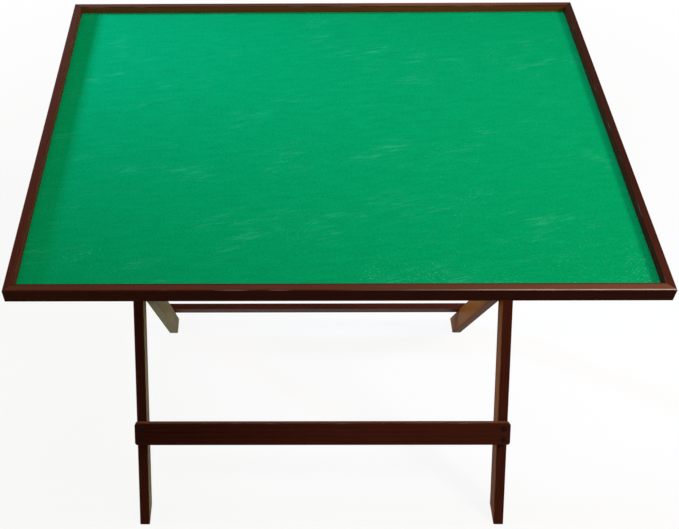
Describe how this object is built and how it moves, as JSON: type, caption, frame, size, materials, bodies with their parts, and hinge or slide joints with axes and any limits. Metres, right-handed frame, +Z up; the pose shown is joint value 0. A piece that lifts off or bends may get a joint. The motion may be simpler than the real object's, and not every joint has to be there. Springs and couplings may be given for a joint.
{
  "type": "folding jigsaw puzzle table",
  "caption": "Folding table for jigsaw puzzles: a shallow wooden tray with a raised rim and a felt surface, on crossed legs that fold together.",
  "frame": {"origin": "on the floor under the middle of the tray, all feet down", "axes": "+X to the right along the tray's long side, +Y to the back, where the tray is hinged to the outer leg frame, +Z up"},
  "size_m": [0.864, 0.66, 0.686],
  "materials": {
    "stained_wood": "dark red-brown stain, satin lacquer",
    "panel_wood": "bare plywood",
    "felt": "green wool-like felt",
    "zinc_steel": "zinc plated",
    "plug_plastic": "dark moulded plastic"
  },
  "bodies": {
    "tray": {"front_rim": "stained_wood", "back_rim": "stained_wood", "left_rim": "stained_wood", "right_rim": "stained_wood", "base_panel": "panel_wood", "felt_surface": "felt", "left_bearer": "stained_wood", "right_bearer": "stained_wood", "front_batten": "stained_wood", "rear_batten": "stained_wood", "left_catch_block": "stained_wood", "right_catch_block": "stained_wood", "bearer_screws": "zinc_steel", "batten_screws": "zinc_steel", "catch_block_screws": "zinc_steel"},
    "outer_frame": {"left_outer_leg": "stained_wood", "right_outer_leg": "stained_wood", "front_stretcher": "stained_wood", "hinge_dowel": "stained_wood", "front_stretcher_screws": "zinc_steel", "front_stretcher_plugs": "plug_plastic", "left_pivot_bolt": "zinc_steel", "right_pivot_bolt": "zinc_steel", "pivot_washers": "zinc_steel", "pivot_nuts": "zinc_steel", "hinge_washers": "zinc_steel", "hinge_dowel_pins": "zinc_steel"},
    "inner_frame": {"left_inner_leg": "stained_wood", "right_inner_leg": "stained_wood", "rear_stretcher": "stained_wood", "catch_dowel": "stained_wood", "rear_stretcher_screws": "zinc_steel", "rear_stretcher_plugs": "plug_plastic", "catch_dowel_pins": "zinc_steel"}
  },
  "joints": [
    {"name": "tray_hinge", "type": "hinge", "parent": "tray", "child": "outer_frame", "pos_m": [0, 0.205, 0.648], "axis": [1, 0, 0], "range_deg": [0, 82.68]},
    {"name": "leg_cross", "type": "hinge", "parent": "outer_frame", "child": "inner_frame", "pos_m": [0, -0.03032, 0.33617], "axis": [-1, 0, 0], "range_deg": [0, 66.15]}
  ],
  "couplings": [
    {"joint": "leg_cross", "follows": "tray_hinge", "ratio": 0.8}
  ]
}
